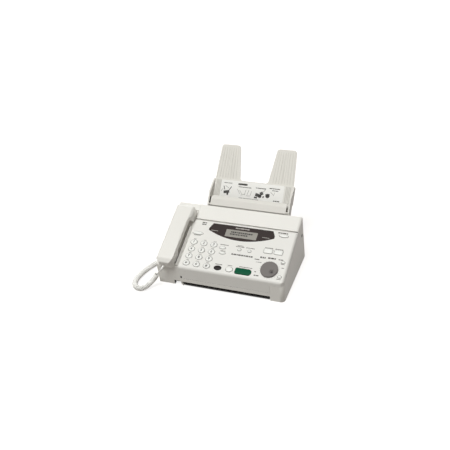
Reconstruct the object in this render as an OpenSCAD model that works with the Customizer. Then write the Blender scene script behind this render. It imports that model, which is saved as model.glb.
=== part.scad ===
// Desktop fax machine with a handset on its left and a sheet tray standing at the back.
// Millimetres, +Z up, +X to the user's right, -Y towards the user.
// The sub-parts are drawn with y = 0 at the casing's front face; desk() moves them to the part's own origin.

/* [Casing] */
// Overall width, handset cradle included
body_w = 360; // [350:1:380]
// Depth of the casing from front face to rear wall
body_d = 197; // [192:1:205]
// Height of the front edge of the control panel
front_h = 67; // [64:1:72]
// Slope of the control panel and top cover, in degrees
slope = 20; // [19:0.5:21]
// Wall thickness of the mouldings
wall = 2.5; // [2:0.1:3]
// Width of the handset cradle
cradle_w = 65; // [64:0.5:68]
// Height of the rubber feet
foot_h = 4; // [3:0.5:5]
// Radius of the upright corner at the front right
corner_r = 11; // [8:0.5:13]
// Radius along the front edge of the panel
nose_r = 9; // [6:0.5:11]
// Radius along the right edge of the panel and cover
edge_r = 7; // [4:0.5:9]
// Height of the paper exit above the desk
exit_top = 15; // [14:0.5:17]
// Height of the lower edge of the control panel's front face
apron_z = 27; // [25:0.5:29]
// Width of the right front leg of the casing
leg_w = 38; // [34:0.5:42]

/* [Control panel] */
// Length of the panel along the slope
panel_len = 159.5; // [158:0.5:161]
// Depth of the panel's side skirt
skirt = 14; // [12:0.5:15]
// Radius of the panel's rolled rear edge, centred on its hinge
knuckle_r = 7; // [6:0.5:7.5]
// Gap between the panel and the top cover
seam = 0.9; // [0.7:0.1:1.5]
// Clearance between parts that move past each other
gap = 0.4; // [0.3:0.1:0.5]

/* [Keys] */
// Width of a dialling key
key_w = 18; // [16:0.5:19]
// Depth of a dialling key along the slope
key_h = 14; // [12:0.5:15]
// Spacing of the dialling keys across the panel
key_dx = 29.3; // [27:0.1:30]
// Spacing of the dialling keys along the slope
key_ds = 22.3; // [21:0.1:23]
// Height of a key above the panel
key_top = 2.2; // [1.8:0.1:2.6]
// Travel of a key
key_travel = 1.2; // [1:0.1:1.3]
// Radius of the jog dial
dial_r = 23.6; // [21:0.2:24.5]

/* [Display] */
// Length of the straight upper edge of the display lens
lens_w = 170; // [160:1:176]
// Depth of the lens along the slope at its middle
lens_h = 45; // [42:0.5:46]

/* [Top cover] */
// Radius of the cover's rear lower edge, centred on its hinge
barrel_r = 15; // [13:0.5:16]
// Height of the cover's hinge axis
barrel_z = 85; // [82:0.5:88]
// Radius of the cover's hinge pins
pin_r = 5.5; // [4:0.5:6]

/* [Paper tray] */
// Lean of the tray from the vertical, in degrees
lean = 42; // [40:0.5:44]
// Outer width of the tray across its ears
tray_w = 239; // [234:1:244]
// Distance of the tray's middle from the middle of the casing
tray_x = 21.5; // [19:0.5:24]
// Depth of the ears in front of the tray plate
ear_d = 20; // [18:0.5:21]
// Height of the tray plate above the cover, along the lean
plate_len = 77; // [74:0.5:80]
// Length of the sheet support above the plate, along the lean
arm_len = 100; // [96:1:104]
// Width of one support arm at its root
arm_root = 75; // [70:1:78]
// Width of one support arm at its tip
arm_tip = 55; // [50:1:60]
// Height of the tension plate
lip_len = 27; // [24:0.5:28]

/* [Handset] */
// Length of the handset
hs_len = 192; // [186:1:196]
// Width of the handset's grip
hs_w = 49; // [46:0.5:50]
// Height of the handset's back above the panel plane
hs_top = 33; // [31:0.5:35]
// Height of the underside of the grip above the panel plane
grip_n = 20; // [18:0.5:21]
// Outer diameter of the curly cord
coil_d = 15; // [13:0.5:16]
// Diameter of the cord's wire
wire_d = 2.8; // [2.6:0.1:3.2]

/* [Mechanism] */
// Radius of the platen roller
platen_r = 9; // [8:0.5:10]
// Radius of the document feed roller
feed_r = 7; // [6:0.5:8]
// Length of the paper rollers
roller_len = 216; // [212:1:218]
// Radius of the roller shafts
shaft_r = 3; // [2.5:0.1:3.5]

/* [Hidden] */
$fn = 48;

right = body_w / 2;
left = -right;
main_x = left + cradle_w;
leg_x = right - leg_w;
run = 0.05;
floor_z = foot_h + wall;
eps = 0.01;

// Hinge axes, as [y, z]
knuckle = on_side(panel_len - knuckle_r, -knuckle_r);
barrel = [body_d - barrel_r, barrel_z];

// Tray: origin of its plate plane, at the height where its ears meet the cover
rear_top = front_h + body_d * tan(slope);
tray_o = [body_d + 3 + ear_d * cos(lean) * 0.88, rear_top + 0.5 - ear_d * sin(lean) * 0.88];
support_top = plate_len + arm_len;
plate_t = 2.4;
arm_t = 2.2;
rest_gap = 0.3;

// Front end of the handset along the slope
hs_s0 = -8;

// The bounding box is centred on the origin along Y
back_y = tray_o[0] + support_top * sin(lean) + (plate_t + rest_gap + arm_t) * cos(lean);
front_y = on_side(hs_s0, hs_top - 12.3)[0];
y_mid = (back_y + front_y) / 2;

// ---------- frames and outlines ----------

module desk() translate([0, -y_mid, 0]) children();

// A point of the side view, from its place along the slope and above it
function on_side(s, n) = [s * cos(slope) - n * sin(slope), front_h + s * sin(slope) + n * cos(slope)];

// Children drawn with X across, Y along the slope and Z off the panel
module on_slope(x = 0, s = 0, n = 0)
    translate([x, on_side(s, n)[0], on_side(s, n)[1]]) rotate([slope, 0, 0]) children();

// Children drawn with X across, Y up the tray's lean and Z towards the user
module on_tray(u = 0, v = 0, n = 0)
    translate([tray_x, tray_o[0], tray_o[1]]) rotate([90 - lean, 0, 0]) translate([u, v, n]) children();

// A side view (y, z) swept from x0 to x1
module along_x(x0, x1) translate([x0, 0, 0]) rotate([90, 0, 90]) linear_extrude(x1 - x0) children();

// The side view's own frame along the slope
module slope2d() translate([0, front_h]) rotate(slope) children();

function unit(v) = v / norm(v);

// Arc points that round corner p1 between p0 and p2
function corner(p0, p1, p2, r, n) =
    let (u = unit(p0 - p1), v = unit(p2 - p1), half = acos(u * v) / 2)
    let (c = p1 + unit(u + v) * r / sin(half), a = p1 + u * r / tan(half) - c, b = p1 + v * r / tan(half) - c)
    let (a0 = atan2(a[1], a[0]), turn = atan2(a[0] * b[1] - a[1] * b[0], a * b))
    [for (i = [0:n]) c + r * [cos(a0 + turn * i / n), sin(a0 + turn * i / n)]];

// Polygon of [x, y, r] corners with each corner rounded by its own r
function rounded(pts, n = 6) = [for (i = [0:len(pts) - 1])
    let (k = len(pts), q = pts[i], p = [q[0], q[1]], before = pts[(i + k - 1) % k], after = pts[(i + 1) % k])
    each q[2] == 0 ? [p] : corner([before[0], before[1]], p, [after[0], after[1]], q[2], n)];

function ellipse(w, h, n = 32) = [for (i = [0:n - 1]) [w / 2 * cos(360 * i / n), h / 2 * sin(360 * i / n)]];

module bar_x(x0, x1, y, z, r) translate([x0, y, z]) rotate([0, 90, 0]) cylinder(h = x1 - x0, r = r);

// Whole casing from the side, with the panel's nose rounded; t takes the wall off for the inside
module casing_side(t = 0)
    polygon(rounded([[t, 1, 0], [body_d - t, 1, 0], [body_d - t, rear_top - t / cos(slope) - t * tan(slope), 3],
        [t, front_h - t / cos(slope) + t * tan(slope), max(nose_r - t, 1)]]));

// Control panel from the side, grown by g where the casing clears it
module panel_side(g = 0) {
    intersection() {
        casing_side();
        slope2d() translate([-80, -skirt - g]) square([80 + panel_len - knuckle_r, skirt + g + 30]);
    }
    translate(knuckle) circle(r = knuckle_r + g);
}

cover_lip = 9;

// Top cover from the side, grown by g where the casing clears it
module cover_side(g = 0) {
    f = on_side(panel_len + seam - g, -cover_lip);
    d = norm(barrel - f);
    a = atan2(barrel[1] - f[1], barrel[0] - f[0]) - asin((barrel_r + g) / d);
    t = f + sqrt(d * d - pow(barrel_r + g, 2)) * [cos(a), sin(a)];
    intersection() {
        casing_side();
        polygon([f, t, barrel, [body_d + 20, barrel_z], [body_d + 20, 200], on_side(panel_len + seam - g, 60)]);
    }
    translate(barrel) circle(r = barrel_r + g);
}

// Plan of the panel and cover with the rounded front right corner, as tall as the machine
module casing_plan(x0, t = 0)
    linear_extrude(200)
        polygon(rounded([[x0 + t, t - eps, 0], [right - t, t - eps, corner_r - t], [right - t, body_d - t, 2],
            [x0 + t, body_d - t, 0]]));

// Cross-section of the sloping top with its rounded right edge, swept along the slope
module casing_roof(t = 0)
    on_slope() rotate([90, 0, 0]) translate([0, 0, -300]) linear_extrude(400)
        polygon(rounded([[left, -160, 0], [right - t, -160, 0], [right - t, -t, max(edge_r - t, 1)], [left, -t, 0]]));

// ---------- casing ----------

// Bracket that stands on the floor and reaches back to hold a hinge pin at p; reach is its length behind the post
module pin_bracket(x0, x1, p, r, reach)
    difference() {
        union() {
            bar_x(x0, x1, p[0], p[1], r + 2);
            along_x(x0, x1) polygon([[p[0] - reach - 12, floor_z - 0.5], [p[0] - reach, floor_z - 0.5],
                [p[0] - reach + 2, p[1] - reach / 2], [p[0] - r, p[1] - r], [p[0], p[1] + r + 1],
                [p[0] - reach - 8, p[1] - 2]]);
        }
        bar_x(x0 - 1, x1 + 1, p[0], p[1], r);
    }

cover_open = 35;
cover_ear = 4;
ear_gap = 0.5;
panel_pin_r = 2.5;
panel_ear = 4;
knuckle_w = 9;

// The part of the side view that the panel and the cover leave to the lower case
module base_side() difference() {
    casing_side();
    slope2d() translate([-80, -skirt - gap]) square([80 + panel_len + seam + 2, 90]);
    translate(knuckle) circle(r = knuckle_r + gap);
    cover_side(gap);
    // Room for the cover's rear wall, which turns down behind its hinge
    translate([body_d - wall - 1, barrel_z - barrel_r * sin(cover_open) - 2 * gap]) square([wall + 2, barrel_r]);
}

// What the rounded front right corner takes off a block; t is its distance inside the outer face
module corner_off(t, h) difference() {
    translate([right - corner_r, t - 2, -1]) cube([corner_r - t + 2, corner_r - t + 2, h + 2]);
    translate([right - corner_r, corner_r, -2]) cylinder(h = h + 4, r = corner_r - t);
}

module case_block(t, z0, h) difference() {
    translate([main_x + t, t, z0]) cube([right - main_x - 2 * t, body_d - 2 * t, h]);
    translate([0, 0, z0]) corner_off(t, h);
}

module lower_case() color("#e9e6df") desk() {
    difference() {
        along_x(main_x, right) base_side();
        corner_off(0, 150);
        case_block(wall, -5, 200);
        translate([main_x - 1, -1, apron_z]) cube([leg_x + gap - main_x + 1, wall + 1 + gap, 60]);
        translate([-108, -1, 0]) cube([leg_x - 1 + 108, wall + 2, exit_top]);
        translate([main_x - 1, -1, 0]) cube([7, wall + 2, exit_top]);
        translate([socket_x, body_d - wall - 1, socket_z]) cube([socket_w, wall + 2, socket_h]);
        for (i = [0:9]) translate([-90 + 9 * i, body_d - wall - 1, 20]) cube([4, wall + 2, 28]);
    }
    difference() {
        case_block(wall - 0.5, foot_h, wall);
        translate([-108, 0, foot_h - 1]) cube([leg_x - 1 + 108, 12, wall + 2]);
        for (x = [foot_x[1], foot_x[2]], y = foot_y)
            translate([x, y, foot_h - 1]) cylinder(h = wall + 2, r = screw_r + 0.1);
    }
    pin_bracket(right - wall - ear_gap - cover_ear, right - wall - ear_gap, barrel, pin_r, 24);
    pin_bracket(main_x + wall + ear_gap, main_x + wall + ear_gap + cover_ear, barrel, pin_r, 24);
    pin_bracket(right - wall - knuckle_w - gap - panel_ear, right - wall - knuckle_w - gap, knuckle, panel_pin_r, 7);
    pin_bracket(main_x + wall + knuckle_w + gap, main_x + wall + knuckle_w + gap + panel_ear, knuckle, panel_pin_r, 7);
}

// Four plain pins: two carry the control panel and two carry the top cover
module hinge_pins() color("#2a2826") desk() {
    bar_x(right - wall - ear_gap - cover_ear, right - 0.6, barrel[0], barrel[1], pin_r);
    bar_x(main_x + 0.2, main_x + wall + ear_gap + cover_ear, barrel[0], barrel[1], pin_r);
    bar_x(right - wall - knuckle_w - gap - panel_ear, right - wall - 1, knuckle[0], knuckle[1], panel_pin_r);
    bar_x(main_x + wall + 1, main_x + wall + knuckle_w + gap + panel_ear, knuckle[0], knuckle[1], panel_pin_r);
}

// Handset line: middle of the grip across the machine, and the two ends of the handset
hs_x = left + 9 + hs_w / 2;
hs_s1 = hs_s0 + hs_len;
hs_left = hs_x - hs_w / 2;
ear_right = main_x - 0.9;
mouth_s = 26;
ear_s = 148;
block_n = -3;
draft = 4;
cup_n = block_n - rest_gap;
cup_wall = 3;
cup_side = 0.4;
cup_gap = 0.6;
ridge_n = 9;
ridge_w = 5.4;
plunger_r = 4;
plunger_s = 166;
plunger_len = 16;
jack_y = 84;
jack_z = 20;

module cradle_side(t = 0)
    polygon(rounded([[2 + t, 1, 0], [body_d - t, 1, 0],
        [body_d - t, rear_top - t / cos(slope) - t * tan(slope), 4],
        [2 + t, front_h - t / cos(slope) + (2 + t) * tan(slope), 8]]));

module handset_cradle() color("#e6e3dc") desk() difference() {
    union() {
        difference() {
            along_x(left, main_x - 0.3) cradle_side();
            along_x(left + wall, main_x - 0.3 - wall) cradle_side(wall);
        }
        intersection() {
            along_x(left + 1, main_x - 1) cradle_side();
            on_slope(0, 0, cup_n - cup_wall) {
                translate([left + 1, ear_s - 4, 0]) cube([cradle_w - 2.3, hs_s1 - ear_s + 8, cup_wall - cup_n]);
                translate([left + 1, -2, 0]) cube([cradle_w - 2.3, mouth_s + 8, cup_wall - cup_n]);
                translate([hs_x, plunger_s, -5]) cylinder(h = 7, r = plunger_r + 3);
            }
        }
        // Ridge that falls from the handset's side to the panel
        on_slope(main_x - 0.6, 3, 0) rotate([90, 0, 180]) linear_extrude(ear_s - 25)
            polygon([[0, -wall / 2], [0, 0.5], [ridge_w - 1.5, ridge_n], [ridge_w, ridge_n], [ridge_w, -wall / 2]]);
        translate([left + 1, 4, foot_h]) cube([cradle_w - 2, body_d - 5, wall]);
        translate([left + 1, jack_y - 8, floor_z - 0.5]) cube([16, 16, jack_z]);
    }
    // Recesses that the earpiece and the mouthpiece drop into
    on_slope(0, 0, cup_n) {
        translate([hs_left + cup_side, ear_s - 2, 0]) cube([ear_right - hs_left - 2 * cup_side, hs_s1 - ear_s + 4, 30]);
        translate([hs_left + cup_side, -40, 0]) cube([hs_w - cup_side + cup_gap, mouth_s + 44, 30]);
    }
    // Well for the hook plunger
    on_slope(hs_x, plunger_s, -30) cylinder(h = 40, r = plunger_r + 0.2);
    // Handset jack in the left face
    translate([left - 1, jack_y - 4.2, jack_z - 3.6]) cube([13, 8.4, 7.2]);
    // Open corner between the cradle and the casing
    translate([-134, -1, -1]) cube([30, 12, exit_top + 1]);
    for (y = foot_y) translate([foot_x[0], y, foot_h - 1]) cylinder(h = wall + 2, r = screw_r + 0.1);
}

foot_x = [left + 18, main_x + 12, right - 20];
foot_y = [28, body_d - 18];
screw_r = 1.6;

module rubber_feet() color("#33312f") desk()
    for (x = foot_x, y = foot_y)
        translate([x, y, 0]) difference() {
            cylinder(h = foot_h, r = 8);
            translate([0, 0, 1.6]) cylinder(h = foot_h, r = 3.4);
        }

// Screws up through the feet into the floor
module case_screws() color("#b9bcc0") desk()
    for (x = foot_x, y = foot_y) translate([x, y, 0]) {
        translate([0, 0, foot_h - 1.8]) cylinder(h = 1.8, r = 3);
        translate([0, 0, foot_h - 1]) cylinder(h = wall + 5, r = screw_r);
    }

// Black comb that carries the sheets out through the front
exit_x0 = -107;
exit_x1 = leg_x - 2.5;
rib_pitch = 17;
guide_d = 24;
guide_t = 1.5;
rib_h = 3;

module exit_guide() color("#1f1d1c") desk() {
    translate([exit_x0, 0.5, foot_h + 0.3]) cube([exit_x1 - exit_x0, 10.2, wall]);
    translate([exit_x0, 0.5, floor_z]) cube([exit_x1 - exit_x0, guide_d, guide_t]);
    for (x = [exit_x0 + 4:rib_pitch:exit_x1 - 4])
        translate([x, 0.5, floor_z + guide_t]) cube([2.4, guide_d, rib_h]);
}

// ---------- rollers and mechanism ----------

platen = [88, 36];
feed = [118, 78];
pickup = [body_d - 45, 88];
supply = [body_d - 47, 46];
takeup = [50, 33];
roller_x0 = tray_x - roller_len / 2;
roller_x1 = tray_x + roller_len / 2;
plate_in = roller_x0 - 6;
plate_out = roller_x1 + 6;
frame_t = 2;
pickup_r = 12;
film_r = 14;
spool_r = 11;

module roller(p, r, x0 = roller_x0, x1 = roller_x1, shaft = shaft_r) {
    bar_x(x0, x1, p[0], p[1], r);
    bar_x(plate_in - frame_t - 1.5, plate_out + frame_t + 1.5, p[0], p[1], shaft);
}

module platen_roller() color("#2b2b2d") desk() roller(platen, platen_r);
module document_roller() color("#3a3a3c") desk() roller(feed, feed_r);

module pickup_roller() color("#4b4a48") desk() {
    for (x = [-60, 0, 60]) bar_x(tray_x + x - 12, tray_x + x + 12, pickup[0], pickup[1], pickup_r);
    roller(pickup, 5);
}

module film_supply() color("#3c3340") desk() roller(supply, film_r);
module film_takeup() color("#3c3340") desk() roller(takeup, spool_r);

// Two side plates on two cross bars, which carry every roller shaft
module roller_frame() color("#a9adb1") desk() {
    for (x = [plate_in - frame_t, plate_out]) difference() {
        along_x(x, x + frame_t) polygon([[38, floor_z], [body_d - 17, floor_z], [body_d - 17, 58], [body_d - 34, 66],
            [body_d - 34, 98], [body_d - 55, 98], [126, 87], [110, 87], [70, 54], [38, 45]]);
        for (p = [platen, feed, pickup, supply, takeup]) bar_x(x - 1, x + frame_t + 1, p[0], p[1], shaft_r + run);
    }
    for (p = [[64, floor_z], [body_d - 29, floor_z]])
        translate([plate_in, p[0] - 6, p[1]]) cube([plate_out - plate_in, 12, 2]);
}

module thermal_head() color("#8d9196") desk() {
    translate([roller_x0, platen[0] - platen_r - 7.3, floor_z]) difference() {
        cube([roller_len, 7, 38]);
        translate([4, -1, -1]) cube([roller_len - 8, 5, 34]);
    }
}

module image_sensor() color("#26282b") desk() {
    translate([plate_in + 0.3, 96, 59]) cube([plate_out - plate_in - 0.6, 13, 16]);
    translate([roller_x0 + 2, 97, 75]) cube([roller_len - 4, 10, 1.4]);
}

module drive_motor() color("#9da1a6") desk() {
    bar_x(plate_out + frame_t, plate_out + frame_t + 20, 132, 30, 13);
    translate([plate_out + frame_t, 130, floor_z]) cube([14, 4, 14]);
}

// Printed board on four spacers
board_t = 1.6;
board_z = floor_z + 6;

module floor_board(x0, x1, y0, y1) {
    translate([x0, y0, board_z]) cube([x1 - x0, y1 - y0, board_t]);
    for (x = [x0 + 5, x1 - 5], y = [y0 + 5, y1 - 5]) translate([x, y, floor_z]) cylinder(h = 7, r = 3);
}

module main_board() color("#2f6b3f") desk() {
    floor_board(plate_in + 4, 52, 80, 158);
    for (x = [-70, -36, -2]) translate([x, 98, board_z + board_t]) cube([22, 22, 2.6]);
    translate([-78, 134, board_z + board_t]) cube([60, 9, 6]);
}

module power_board() color("#7b5a34") desk() {
    floor_board(58, plate_out - 4, 80, 158);
    translate([66, 88, board_z + board_t]) cube([26, 24, 12]);
    for (x = [104, 120]) translate([x, 98, board_z + board_t]) cylinder(h = 9, r = 6);
}

// Rear connectors: two line jacks and the power inlet, in one block behind its opening
socket_x = 60;
socket_z = 14;
socket_w = 52;
socket_h = 26;

module socket_block() color("#4a4845") desk() difference() {
    union() {
        translate([socket_x + gap, body_d - wall - 1, socket_z + gap])
            cube([socket_w - 2 * gap, wall + 0.6, socket_h - 2 * gap]);
        translate([socket_x - 2, body_d - wall - 17, floor_z]) cube([socket_w + 4, 16.9, socket_z + socket_h - floor_z + 2]);
    }
    for (x = [7, 23]) translate([socket_x + x - 2.5, body_d - 13, socket_z + 9]) cube([11, 20, 9]);
    translate([socket_x + 35, body_d - 15, socket_z + 7]) cube([13, 22, 12]);
}

module speaker() color("#3b3a39") desk() translate([158, 62, floor_z]) difference() {
    cylinder(h = 12, r = 17);
    translate([0, 0, 6]) cylinder(h = 10, r = 15);
}

// ---------- control panel ----------

panel_x0 = main_x + 0.1;
board_n = -wall - rest_gap - 1.2 - key_travel - 0.5;
key_clear = 0.35;
key_x0 = -95;
key_s0 = 15.9;
dial_x = 134.2;
dial_s = 33.4;
post_at = [[-80.3, 26.9], [-80.3, 71.6], [12, 46], [88, 66], [171, 40]];

// Every key as [x, s, width, depth, corner radius]; a corner radius of 0 is an oval
DIAL_KEYS = [for (row = [0:3], col = [0:2]) [key_x0 + col * key_dx, key_s0 + row * key_ds, key_w, key_h, 0]];
MONITOR = [-4.4, 15.6, 20, 13, 0];
STOP = [28, 16.3, 19, 14, 0];
START = [67, 16, 44, 17.5, 4];
REDIAL = [-10, 77.8, 17, 7, 0];
FLASH = [-5.5, 62, 17, 7, 0];
MODE = [37.9, 79.4, 9, 7, 0];
HELP = [66.4, 79.4, 9, 7, 0];
MEMORY_LEFT = [116.4, 88, 23, 13, 3];
MEMORY_RIGHT = [144.8, 88, 23, 13, 3];
VOLUME_UP = [164.5, 60.4, 10, 6, 0];
VOLUME_DOWN = [166, 17.5, 10, 6, 0];
MENU = [145.7, 140, 25, 8, 0];
DIRECTORY = [-93.5, 112.6, 30, 8.5, 0];
ALL_KEYS = concat(DIAL_KEYS, [MONITOR, STOP, START, REDIAL, FLASH, MODE, HELP, MEMORY_LEFT, MEMORY_RIGHT,
    VOLUME_UP, VOLUME_DOWN, MENU, DIRECTORY]);

// Plan of a key, grown by g
module key_plan(k, g = 0)
    if (k[4] == 0) polygon(ellipse(k[2] + 2 * g, k[3] + 2 * g));
    else polygon(rounded([for (c = [[-1, -1], [1, -1], [1, 1], [-1, 1]])
        [c[0] * (k[2] / 2 + g), c[1] * (k[3] / 2 + g), c[0] > 0 && k == START ? k[3] / 2 - 0.5 : k[4]]]));

module key_cap(k) on_slope(k[0], k[1]) {
    translate([0, 0, -wall - rest_gap - 0.6]) linear_extrude(wall + rest_gap + 0.6 + key_top) key_plan(k);
    translate([0, 0, -wall - rest_gap - 1.2]) linear_extrude(1.2) key_plan(k, 1.2);
}

// Lens outline: straight above, a shallow bow below
lens_x = 27.7;
lens_top = 151;
lens_bow = 0.0025;
lens_end = 94;
lens_t = 1.2;
lens_proud = 0.5;

function lens_points(g = 0) = concat(
    [for (x = [-lens_end - g:(2 * lens_end + 2 * g) / 24:lens_end + g + eps]) [lens_x + x, lens_top - lens_h - g + lens_bow * x * x]],
    [[lens_x + lens_end + g, lens_top - 15], [lens_x + lens_w / 2 + 1, lens_top + g],
     [lens_x - lens_w / 2 - 1, lens_top + g], [lens_x - lens_end - g, lens_top - 17]]);

// Window in the lens, as [x0, s0, width, depth]
view_win = [-16, 115, 90, 23];

module control_panel() color("#efece6") desk() {
    difference() {
        union() {
            difference() {
                intersection() {
                    along_x(panel_x0, right) panel_side();
                    casing_plan(panel_x0);
                    casing_roof();
                }
                intersection() {
                    along_x(panel_x0 + wall, right - wall) casing_side(wall);
                    casing_plan(panel_x0, wall);
                    casing_roof(wall);
                }
            }
            translate([panel_x0, 0, apron_z + gap]) cube([leg_x - panel_x0, wall, front_h - nose_r - apron_z - 2]);
            along_x(panel_x0 + wall - eps, right - wall + eps) intersection() {
                difference() {
                    translate(knuckle) circle(r = knuckle_r);
                    translate(knuckle) circle(r = knuckle_r - 2);
                }
                slope2d() translate([panel_len - knuckle_r, -2 * knuckle_r]) square([knuckle_r, 2 * knuckle_r]);
            }
            for (x = [panel_x0 + wall - eps, right - wall - knuckle_w + eps])
                bar_x(x, x + knuckle_w, knuckle[0], knuckle[1], knuckle_r - 0.5);
            for (p = post_at) on_slope(p[0], p[1], board_n) cylinder(h = -board_n - wall + eps, r = 2.5);
        }
        for (k = ALL_KEYS) on_slope(k[0], k[1], -wall - 1) linear_extrude(wall + 2) key_plan(k, key_clear);
        on_slope(dial_x, dial_s, -1.2) cylinder(h = 5, r = dial_r + key_clear);
        on_slope(dial_x, dial_s, -wall - 1) cylinder(h = 5, r = 5 + run);
        on_slope(0, 0, -lens_t) linear_extrude(10) polygon(lens_points(0.25));
        on_slope(view_win[0], view_win[1], -wall - 1) cube([view_win[2], view_win[3], wall + 2]);
        bar_x(panel_x0 + wall + 0.6, panel_x0 + wall + knuckle_w + 1, knuckle[0], knuckle[1], panel_pin_r + run);
        bar_x(right - wall - knuckle_w - 1, right - wall - 0.6, knuckle[0], knuckle[1], panel_pin_r + run);
    }
}

module display_lens() color("#3b2f2d") desk()
    on_slope(0, 0, -lens_t) linear_extrude(lens_t + lens_proud) polygon(lens_points());

module display_module() color("#9fa59b") desk() {
    on_slope(view_win[0] + gap, view_win[1] + gap, -wall - 1)
        cube([view_win[2] - 2 * gap, view_win[3] - 2 * gap, wall + 1 - lens_t - gap / 2]);
    on_slope(view_win[0] - 3, view_win[1] - 3, -wall - 5) cube([view_win[2] + 6, view_win[3] + 6, 5]);
}

module panel_board() color("#2f6b3f") desk() on_slope(0, 0, board_n - board_t) {
    translate([-108, 8, 0]) cube([282, 92, board_t]);
    translate([-108, 100 - eps, 0]) cube([30, 20, board_t]);
    translate([131, 100 - eps, 0]) cube([30, 46, board_t]);
    for (x = [-30, 60]) translate([x, 40, -2]) cube([14, 14, 2]);
}

module jog_dial() color("#6c6a68") desk() on_slope(dial_x, dial_s) difference() {
    union() {
        translate([0, 0, -0.9]) cylinder(h = 5.4, r = dial_r - 1.2);
        translate([0, 0, -0.9]) cylinder(h = 3.6, r = dial_r);
        translate([0, 0, board_n + rest_gap]) cylinder(h = -board_n - rest_gap, r = 5);
    }
    translate([8.5, -6.5, 8]) sphere(r = 7);
}

module key_hash() color("#f6f5f1") desk() key_cap(DIAL_KEYS[2]);
module key_0() color("#f6f5f1") desk() key_cap(DIAL_KEYS[1]);
module key_star() color("#f6f5f1") desk() key_cap(DIAL_KEYS[0]);
module key_7() color("#f6f5f1") desk() key_cap(DIAL_KEYS[3]);
module key_8() color("#f6f5f1") desk() key_cap(DIAL_KEYS[4]);
module key_9() color("#f6f5f1") desk() key_cap(DIAL_KEYS[5]);
module key_4() color("#f6f5f1") desk() key_cap(DIAL_KEYS[6]);
module key_5() color("#f6f5f1") desk() key_cap(DIAL_KEYS[7]);
module key_6() color("#f6f5f1") desk() key_cap(DIAL_KEYS[8]);
module key_1() color("#f6f5f1") desk() key_cap(DIAL_KEYS[9]);
module key_2() color("#f6f5f1") desk() key_cap(DIAL_KEYS[10]);
module key_3() color("#f6f5f1") desk() key_cap(DIAL_KEYS[11]);
module monitor_key() color("#3a3432") desk() key_cap(MONITOR);
module stop_key() color("#f6f5f1") desk() key_cap(STOP);
module start_key() color("#0b7a4b") desk() key_cap(START);
module redial_key() color("#f6f5f1") desk() key_cap(REDIAL);
module flash_key() color("#f6f5f1") desk() key_cap(FLASH);
module mode_key() color("#f6f5f1") desk() key_cap(MODE);
module help_key() color("#f6f5f1") desk() key_cap(HELP);
module memory_key_left() color("#f6f5f1") desk() key_cap(MEMORY_LEFT);
module memory_key_right() color("#f6f5f1") desk() key_cap(MEMORY_RIGHT);
module volume_up_key() color("#f6f5f1") desk() key_cap(VOLUME_UP);
module volume_down_key() color("#f6f5f1") desk() key_cap(VOLUME_DOWN);
module menu_key() color("#f6f5f1") desk() key_cap(MENU);
module directory_key() color("#f6f5f1") desk() key_cap(DIRECTORY);

// ---------- top cover and paper tray ----------

win_w = 224;
win_z0 = 101;
win_z1 = 134;
shelf_v = -8;

// A point of the side view, from its place up the tray's lean and in front of its plate
function on_lean(v, n) = tray_o + [v * sin(lean) - n * cos(lean), v * cos(lean) + n * sin(lean)];

module top_cover() color("#eeebe5") desk() difference() {
    union() {
        difference() {
            intersection() {
                along_x(panel_x0, right) cover_side();
                casing_plan(panel_x0);
                casing_roof();
            }
            intersection() {
                along_x(panel_x0 + wall, right - wall) casing_side(wall);
                casing_plan(panel_x0, wall);
                casing_roof(wall);
            }
        }
        along_x(panel_x0 + wall - eps, right - wall + eps) intersection() {
            difference() {
                translate(barrel) circle(r = barrel_r);
                translate(barrel) circle(r = barrel_r - wall);
            }
            translate([barrel[0], barrel[1] - barrel_r - 1]) square([barrel_r + 1, barrel_r + 1.5]);
        }
        for (x = [-70, 66]) along_x(tray_x + x, tray_x + x + 4)
            polygon([[body_d - 1, 96], on_lean(shelf_v, -plate_t - rest_gap - 6), on_lean(shelf_v, -plate_t - rest_gap),
                on_lean(shelf_v - 16, -plate_t - rest_gap), [body_d - 1, win_z0]]);
    }
    translate([tray_x - win_w / 2, body_d - wall - 1, win_z0]) cube([win_w, wall + 2, win_z1 - win_z0]);
    bar_x(left, right + 1, barrel[0], barrel[1], pin_r + run);
}

ear_t = 4;
ear_u = tray_w / 2;
ear_top = 40;
tongue = 109;
tongue_v = -34;
lip_pivot = [1.5, ear_d - 1.5];
lip_pin_r = 1.8;
rail_n = -plate_t - 4.6;

module tray_side(u0, u1) on_tray() translate([u0, 0, 0]) rotate([90, 0, 90]) linear_extrude(u1 - u0) children();

module paper_tray() color("#ebe8e1") desk() difference() {
    union() {
        on_tray(-ear_u, -10, -plate_t) cube([tray_w, plate_len + 10, plate_t]);
        on_tray(-tongue, tongue_v, -plate_t) cube([2 * tongue, -tongue_v, plate_t]);
        on_tray(-tongue + 6, shelf_v + rest_gap, -plate_t - 3.5) cube([2 * tongue - 12, 3, 3.6]);
        for (u = [-ear_u, ear_u - ear_t]) tray_side(u, u + ear_t)
            polygon(rounded([[-10, -plate_t, 0], [-10, 11, 0], [0, ear_d, 1], [ear_top, ear_d, 9], [74, 2, 3],
                [75, -plate_t, 0]]));
        for (m = [0, 1]) mirror_tray(m) {
            on_tray(ear_u - 2.5, 26, rail_n - 1.8) cube([2.5, plate_len - 28, -rail_n - plate_t + 1.9]);
            on_tray(ear_u - 8, 26, rail_n - 1.8) cube([6, plate_len - 28, 1.6]);
        }
    }
    for (u = [-ear_u - 1, ear_u - ear_t - 1]) on_tray(u, lip_pivot[0], lip_pivot[1])
        rotate([0, 90, 0]) cylinder(h = ear_t + 2, r = lip_pin_r + run);
}

// Children repeated on the tray's other side when m is 1
module mirror_tray(m) translate([tray_x * 2 * m, 0, 0]) mirror([m, 0, 0]) children();

lip_u = ear_u - 9;

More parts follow.
